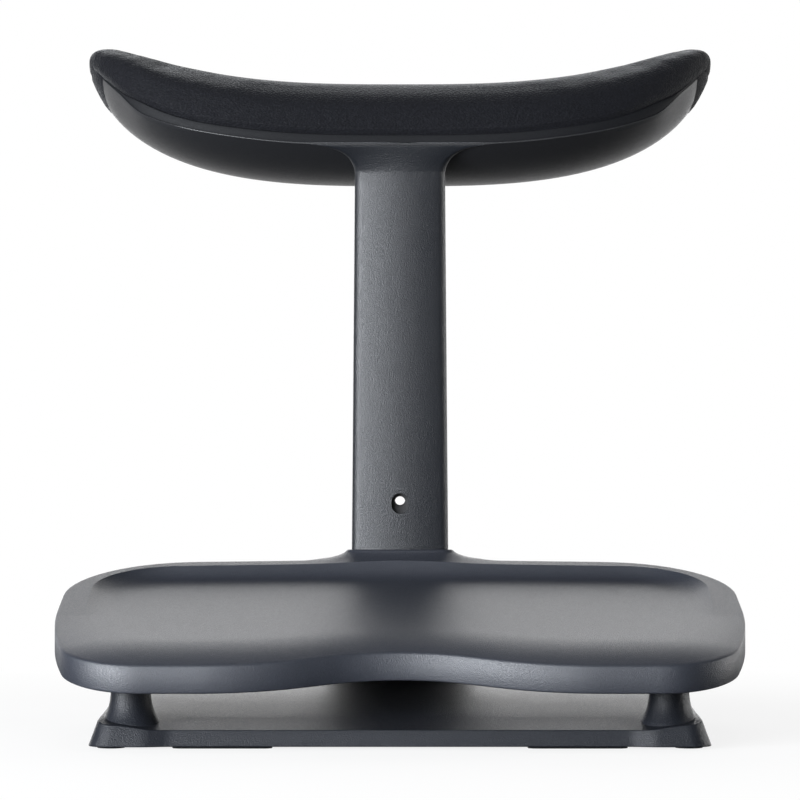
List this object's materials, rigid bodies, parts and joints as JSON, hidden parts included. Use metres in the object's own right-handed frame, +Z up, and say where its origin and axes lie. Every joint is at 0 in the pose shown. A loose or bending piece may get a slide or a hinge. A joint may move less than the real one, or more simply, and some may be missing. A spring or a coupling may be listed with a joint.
{
  "type": "leg and foot rest",
  "caption": "Free-standing leg rest: low domed base, tilted dished foot tray, and a height-adjustable column that carries a curved padded leg cushion.",
  "frame": {"origin": "middle of the overall box on the floor", "axes": "+Z up, +Y from the tray's front edge towards the back, +X to the right as seen from the front"},
  "size_m": [0.462, 0.4351, 0.4799],
  "materials": {
    "slate_plastic": "fine sandy texture, satin",
    "shell_plastic": "fine sandy texture, satin",
    "panel_plastic": "moulded, matt",
    "bush_plastic": "smooth acetal",
    "plate_steel": "black powder coat",
    "zinc_steel": "zinc plated",
    "insert_brass": "turned",
    "foot_rubber": "matt",
    "board_plywood": "moulded plywood, raw",
    "foam": "open-cell foam",
    "cover_fabric": "fine woven grain, matt"
  },
  "bodies": {
    "stand": {"base_cover": "slate_plastic", "base_plate": "plate_steel", "cover_screws": "zinc_steel", "corner_feet": "foot_rubber", "strip_feet": "foot_rubber", "post_flange": "plate_steel", "flange_bolts": "zinc_steel", "guide_post": "plate_steel", "post_end_cap": "bush_plastic", "upper_guide_bush": "bush_plastic", "stop_ring": "foot_rubber", "foot_tray": "slate_plastic", "tray_bottom_panel": "panel_plastic", "tray_front_screws": "zinc_steel", "tray_rear_screws": "zinc_steel"},
    "leg_rest": {"column": "slate_plastic", "lower_guide_bush": "bush_plastic", "pad_shell": "shell_plastic", "head_bracket": "plate_steel", "head_bolts": "zinc_steel", "cushion_board": "board_plywood", "board_inserts": "insert_brass", "cushion_screws": "zinc_steel", "cushion_foam": "foam", "cushion_cover": "cover_fabric"}
  },
  "joints": [
    {"name": "column_height", "type": "slide", "parent": "stand", "child": "leg_rest", "axis": [0, 0, 1], "range_m": [0, 0.06]}
  ]
}
